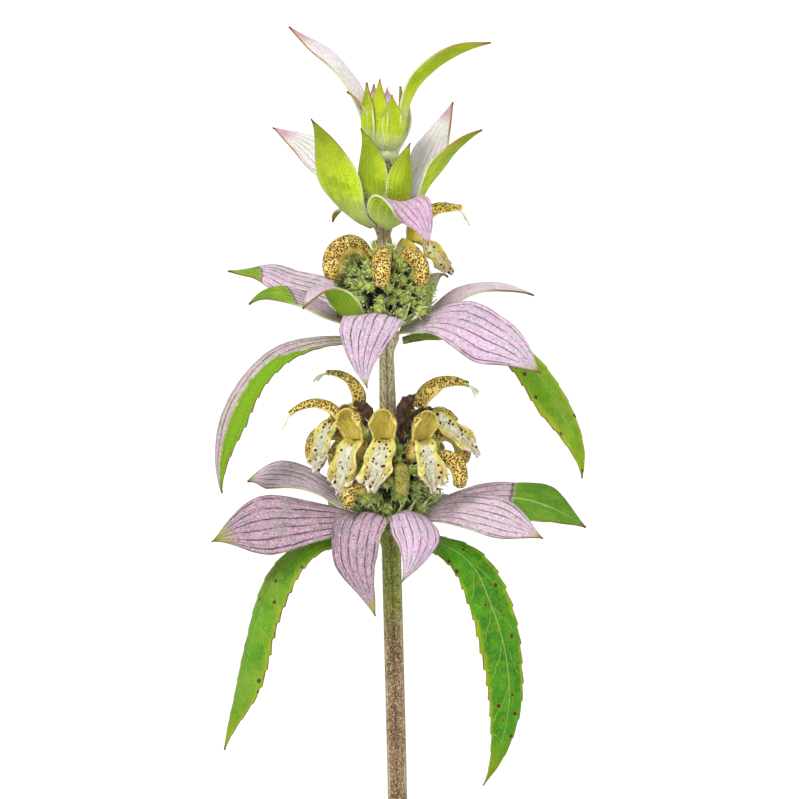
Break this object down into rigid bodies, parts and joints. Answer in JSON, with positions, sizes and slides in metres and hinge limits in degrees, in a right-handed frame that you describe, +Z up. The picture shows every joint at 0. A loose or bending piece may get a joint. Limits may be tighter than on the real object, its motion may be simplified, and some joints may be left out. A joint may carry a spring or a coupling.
{
  "type": "potted horsemint",
  "caption": "Potted horsemint: one square upright stem with tiered heads of spotted yellow flowers over lilac bracts and drooping toothed leaves, in a plain clay pot.",
  "frame": {"origin": "middle of the pot's underside", "axes": "+Z up along the stem; -Y towards the viewer, the plant's best side"},
  "size_m": [0.112, 0.112, 0.2971],
  "materials": {
    "terracotta": "matte fired clay",
    "soil": "rough, damp",
    "stem": "hairy, matte",
    "leaf": "soft satin",
    "young_bract": "soft satin",
    "lilac_bract": "matte, papery",
    "flower_head": "matte"
  },
  "bodies": {
    "root": {"pot": "terracotta", "soil": "soil", "stem": "stem", "lower_bract_left_back": "lilac_bract", "lower_bract_left": "lilac_bract", "lower_bract_front_left": "lilac_bract", "lower_bract_front_right": "lilac_bract", "lower_bract_right": "lilac_bract", "lower_bract_right_back": "lilac_bract", "lower_bract_back_right": "lilac_bract", "lower_bract_back_left": "lilac_bract", "lower_leaf_left": "leaf", "lower_leaf_right": "leaf", "middle_bract_left_back": "lilac_bract", "middle_bract_left": "lilac_bract", "middle_bract_front_left": "lilac_bract", "middle_bract_front": "lilac_bract", "middle_bract_right": "lilac_bract", "middle_bract_right_back": "lilac_bract", "middle_bract_back_right": "lilac_bract", "middle_bract_back": "lilac_bract", "middle_leaf_left": "leaf", "middle_leaf_right": "leaf", "upper_bract_left_back": "lilac_bract", "upper_bract_front_left": "young_bract", "upper_bract_front": "young_bract", "upper_bract_front_right": "young_bract", "upper_bract_right_back": "lilac_bract", "upper_bract_right": "young_bract", "upper_bract_back_low": "young_bract", "upper_bract_folded": "lilac_bract", "upper_bract_back": "lilac_bract", "top_bract_left": "young_bract", "top_bract_right": "young_bract", "stem_leaf_high_front": "leaf", "stem_leaf_high_back": "leaf", "stem_leaf_middle_left": "leaf", "stem_leaf_middle_right": "leaf", "stem_leaf_low_front": "leaf", "stem_leaf_low_back": "leaf", "lower_head": "flower_head", "middle_head": "flower_head", "upper_head": "flower_head", "top_bud": "young_bract", "axil_tuft_front": "leaf", "axil_tuft_back": "leaf", "axil_tuft_left": "leaf", "axil_tuft_right": "leaf"}
  },
  "joints": []
}
